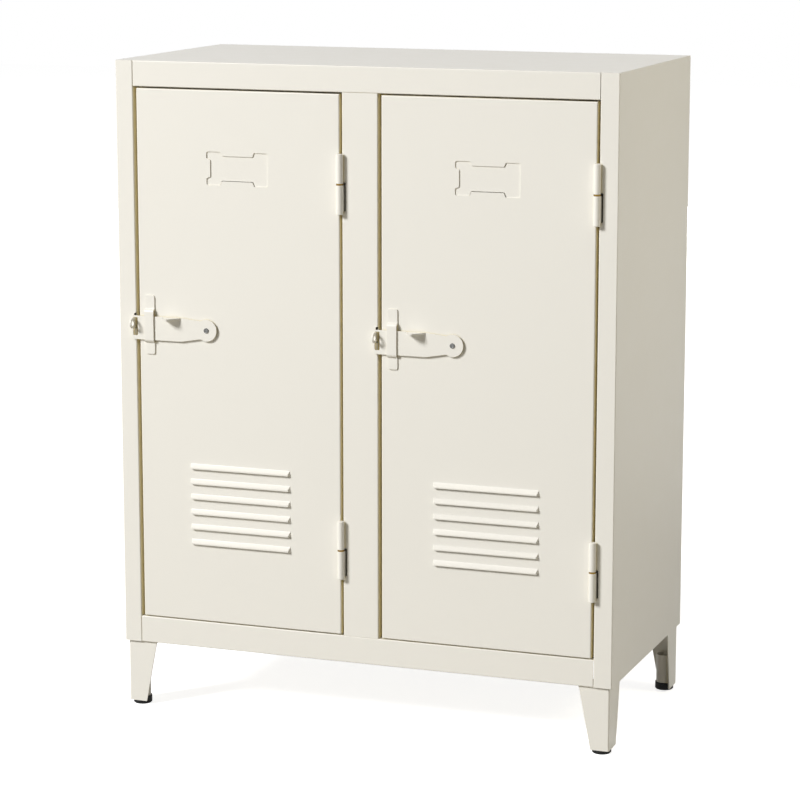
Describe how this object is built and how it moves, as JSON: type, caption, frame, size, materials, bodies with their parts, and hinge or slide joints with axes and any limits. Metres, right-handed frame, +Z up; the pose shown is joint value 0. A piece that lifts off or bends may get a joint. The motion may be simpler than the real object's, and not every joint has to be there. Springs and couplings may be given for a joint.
{
  "type": "double locker",
  "caption": "Low double locker in folded sheet steel with louvred hinged doors, padlock latches, shelves and legs.",
  "frame": {"origin": "on the floor, under the middle of the bounding box", "axes": "+Z up, -Y out of the doors, +X to the right of someone who faces the doors"},
  "size_m": [0.76, 0.402, 0.97],
  "materials": {
    "ivory_paint": "semi-gloss ivory paint over sheet steel",
    "foot_cap": "matt black rubber",
    "washer_brass": "plain turned brass",
    "bumper_rubber": "dark grey rubber",
    "bare_steel": "plain steel, slightly dulled"
  },
  "bodies": {
    "cabinet": {"left_side_panel": "ivory_paint", "right_side_panel": "ivory_paint", "left_front_post": "ivory_paint", "right_front_post": "ivory_paint", "top_panel": "ivory_paint", "top_rail": "ivory_paint", "floor_panel": "ivory_paint", "front_base_rail": "ivory_paint", "rear_base_rail": "ivory_paint", "left_base_rail": "ivory_paint", "right_base_rail": "ivory_paint", "back_panel": "ivory_paint", "centre_mullion": "ivory_paint", "centre_partition": "ivory_paint", "left_shelf": "ivory_paint", "right_shelf": "ivory_paint", "shelf_runners": "ivory_paint", "door_bumpers": "bumper_rubber", "left_staple": "ivory_paint", "right_staple": "ivory_paint", "hinge_pins": "bare_steel", "hinge_washers": "washer_brass", "left_lower_hinge_frame_half": "ivory_paint", "left_upper_hinge_frame_half": "ivory_paint", "right_lower_hinge_frame_half": "ivory_paint", "right_upper_hinge_frame_half": "ivory_paint", "front_left_leg_bracket": "ivory_paint", "front_right_leg_bracket": "ivory_paint", "rear_left_leg_bracket": "ivory_paint", "rear_right_leg_bracket": "ivory_paint", "front_left_leg_tube": "ivory_paint", "front_right_leg_tube": "ivory_paint", "rear_left_leg_tube": "ivory_paint", "rear_right_leg_tube": "ivory_paint", "front_left_foot_cap": "foot_cap", "front_right_foot_cap": "foot_cap", "rear_left_foot_cap": "foot_cap", "rear_right_foot_cap": "foot_cap", "leg_screws": "bare_steel"},
    "left_door": {"left_door_panel": "ivory_paint", "left_door_edges": "ivory_paint", "left_latch_strap": "ivory_paint", "left_latch_washer": "ivory_paint", "left_latch_rivet": "bare_steel", "left_lower_hinge_door_half": "ivory_paint", "left_upper_hinge_door_half": "ivory_paint"},
    "left_lever": {"left_latch_lever": "ivory_paint"},
    "right_door": {"right_door_panel": "ivory_paint", "right_door_edges": "ivory_paint", "right_latch_strap": "ivory_paint", "right_latch_washer": "ivory_paint", "right_latch_rivet": "bare_steel", "right_lower_hinge_door_half": "ivory_paint", "right_upper_hinge_door_half": "ivory_paint"},
    "right_lever": {"right_latch_lever": "ivory_paint"}
  },
  "joints": [
    {"name": "left_door_hinge", "type": "hinge", "parent": "cabinet", "child": "left_door", "pos_m": [-0.029, -0.1835, 0.53575], "axis": [0, 0, 1], "range_deg": [0, 160]},
    {"name": "left_lever_pivot", "type": "hinge", "parent": "left_door", "child": "left_lever", "pos_m": [-0.239, -0.182, 0.5802], "axis": [0, 1, 0], "range_deg": [0, 4.2]},
    {"name": "right_door_hinge", "type": "hinge", "parent": "cabinet", "child": "right_door", "pos_m": [0.351, -0.1835, 0.53575], "axis": [0, 0, 1], "range_deg": [0, 160]},
    {"name": "right_lever_pivot", "type": "hinge", "parent": "right_door", "child": "right_lever", "pos_m": [0.141, -0.182, 0.5802], "axis": [0, 1, 0], "range_deg": [0, 4.2]}
  ]
}
